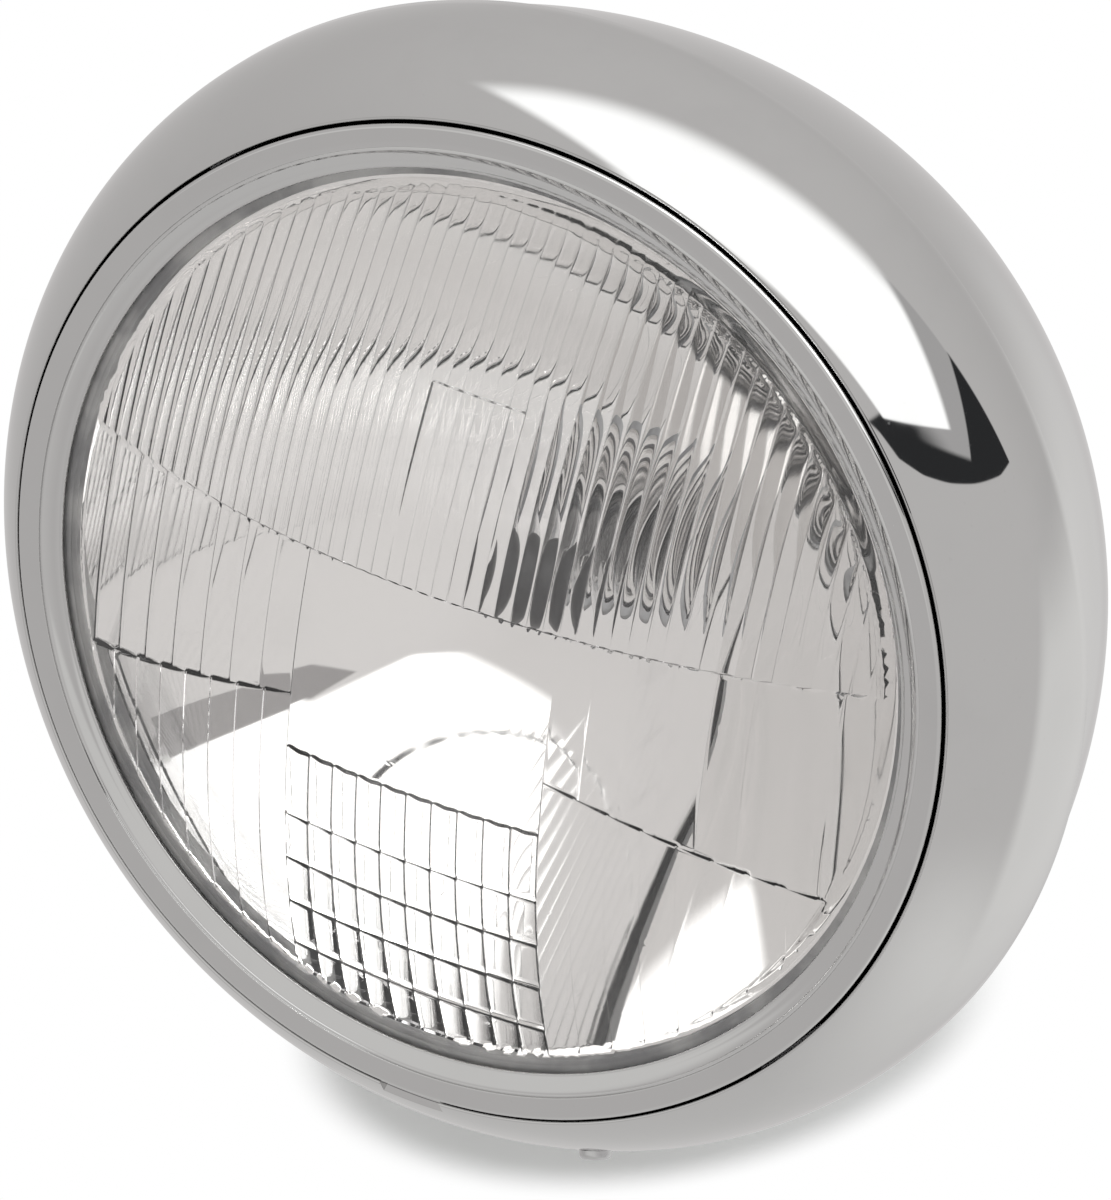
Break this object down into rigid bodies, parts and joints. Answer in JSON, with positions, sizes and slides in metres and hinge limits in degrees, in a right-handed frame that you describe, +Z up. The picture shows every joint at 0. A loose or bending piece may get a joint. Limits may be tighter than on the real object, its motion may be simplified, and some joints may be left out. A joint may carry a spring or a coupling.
{
  "type": "round motorcycle headlight",
  "caption": "Round inset headlight with a fluted glass, chrome trim ring, front bell and deep bucket, held by a threaded boss below.",
  "frame": {"origin": "middle of the mounting boss's lower face, under the bucket", "axes": "-Y is the way the light shines, +Z up, +X the right side seen from in front; the boss's thread runs along Z"},
  "size_m": [0.2106, 0.1467, 0.2133],
  "materials": {
    "chrome_shell": "polished chrome on spun steel",
    "trim_chrome": "polished chrome on rolled steel",
    "zinc_steel": "zinc plated sheet",
    "bright_screw": "plated screw",
    "lens_glass": "clear pressed glass, fluted inside",
    "reflector_mirror": "vacuum coated aluminium",
    "bulb_glass": "clear bulb glass",
    "bulb_metal": "nickel plated",
    "spring_wire": "bright spring wire",
    "black_rubber": "matt black rubber",
    "clear_sealant": "pale translucent sealant"
  },
  "bodies": {
    "root": {"front_bell": "chrome_shell", "bucket": "chrome_shell", "mount_boss": "chrome_shell", "mount_stiffener": "zinc_steel", "top_hook": "zinc_steel", "clamp_tongue": "zinc_steel", "clamp_nut": "zinc_steel", "clamp_screw": "bright_screw", "wire_grommet": "black_rubber", "bell_brackets": "zinc_steel", "carrier_ring": "zinc_steel", "carrier_screws": "bright_screw", "trim_ring": "trim_chrome", "ring_screws": "bright_screw", "lens": "lens_glass", "lens_seal": "clear_sealant", "reflector": "reflector_mirror", "bulb_collar": "zinc_steel", "bulb_base": "bulb_metal", "bulb_glass": "bulb_glass", "bulb_shield": "bulb_metal", "bulb_contacts": "bulb_metal", "bulb_clip": "spring_wire", "bulb_boot": "black_rubber"}
  },
  "joints": []
}
